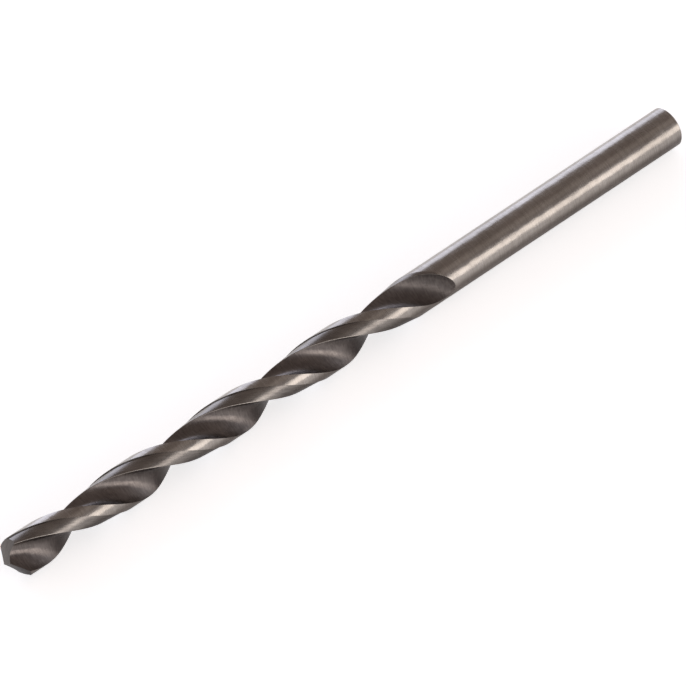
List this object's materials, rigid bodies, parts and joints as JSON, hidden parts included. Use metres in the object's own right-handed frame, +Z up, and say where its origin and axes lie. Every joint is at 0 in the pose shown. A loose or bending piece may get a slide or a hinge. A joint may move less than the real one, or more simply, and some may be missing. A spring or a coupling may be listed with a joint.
{
  "type": "twist drill bit",
  "caption": "Right-hand twist drill for metal with a plain straight shank, helical flutes, margins and a ground conical point.",
  "frame": {"origin": "under the middle of the drill's length, on the surface it lies on", "axes": "+X along the drill's axis, from the point to the shank's free end; +Z up from the surface it lies on"},
  "size_m": [0.0825, 0.004, 0.004],
  "materials": {
    "drill_bit": "bright ground steel, satin in the flutes"
  },
  "bodies": {
    "root": {"drill_bit": "drill_bit"}
  },
  "joints": []
}
